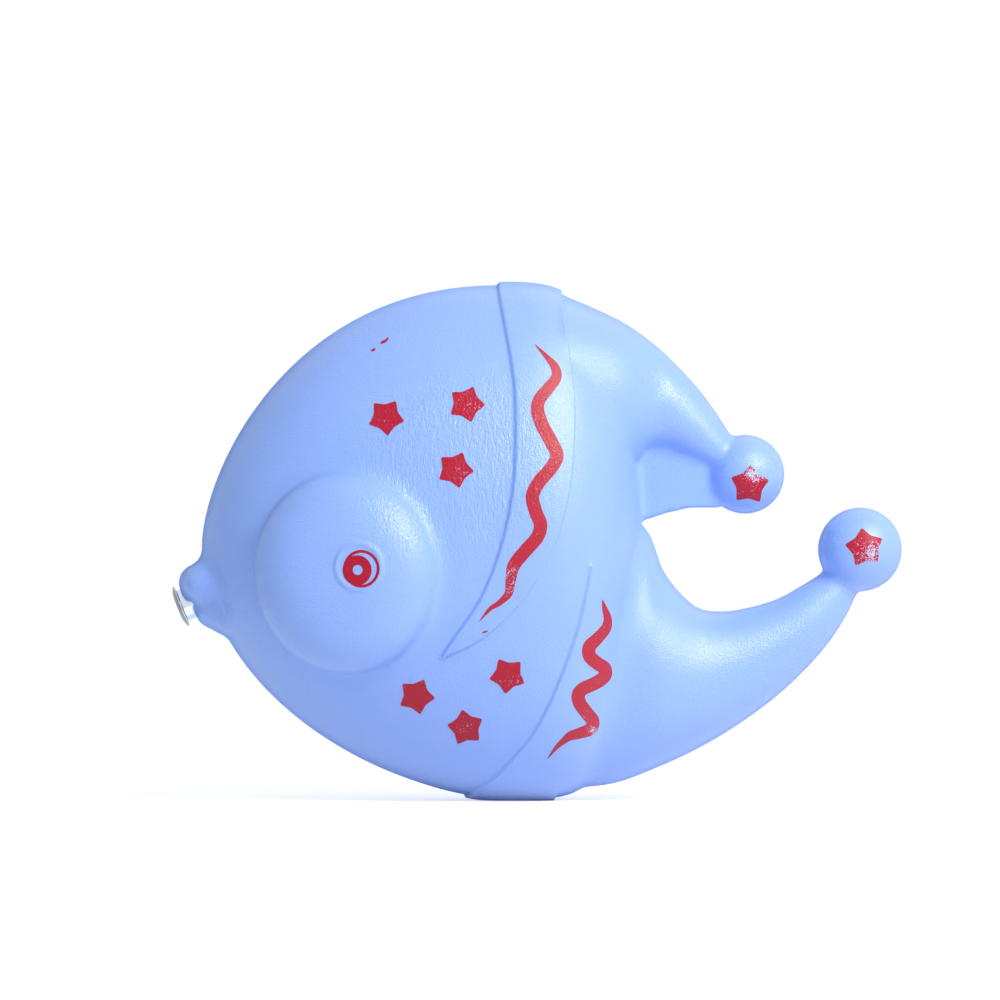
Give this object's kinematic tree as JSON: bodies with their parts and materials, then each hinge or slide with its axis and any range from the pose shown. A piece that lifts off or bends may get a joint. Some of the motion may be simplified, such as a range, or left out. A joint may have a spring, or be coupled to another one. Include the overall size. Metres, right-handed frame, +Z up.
{
  "type": "squeaky bath toy",
  "caption": "Hollow soft vinyl bath fish with domed eyes, raised bands, a forked tail with ball tips and a metal reed squeaker in its mouth that sounds when the sides are squeezed.",
  "frame": {"origin": "on the flat under the belly, below the body's tallest station", "axes": "+X from head to tail, +Y to the fish's right, +Z up"},
  "size_m": [0.1203, 0.0586, 0.0856],
  "materials": {
    "vinyl": "satin soft vinyl, light blue, fine moulded grain",
    "red_paint": "thin printed paint, worn in places",
    "tin": "bright tinned sheet",
    "white_plastic": "moulded",
    "brass": "thin rolled strip"
  },
  "bodies": {
    "skin": {"body_shell": "vinyl", "squeaker_barrel": "tin", "squeaker_front_plate": "tin", "squeaker_back_cap": "tin", "reed_block": "white_plastic", "reed_wedge": "white_plastic", "star_prints": "red_paint", "wave_prints": "red_paint"},
    "left_wall": {"left_eye_wall": "vinyl", "left_eye_print": "red_paint"},
    "right_wall": {"right_eye_wall": "vinyl", "right_eye_print": "red_paint"},
    "reed": {"reed_tongue": "brass"}
  },
  "joints": [
    {"name": "left_squeeze", "type": "slide", "parent": "skin", "child": "left_wall", "axis": [0.3256, 0.9455, 0], "range_m": [0, 0.008], "stiffness_N_per_m": 700},
    {"name": "right_squeeze", "type": "slide", "parent": "skin", "child": "right_wall", "axis": [0.3256, -0.9455, 0], "range_m": [0, 0.008], "stiffness_N_per_m": 700},
    {"name": "reed_flex", "type": "hinge", "parent": "skin", "child": "reed", "pos_m": [-0.04395, 0, 0.03579], "axis": [0, 1, 0], "range_deg": [-4, 4], "stiffness_Nm_per_rad": 0.002}
  ]
}
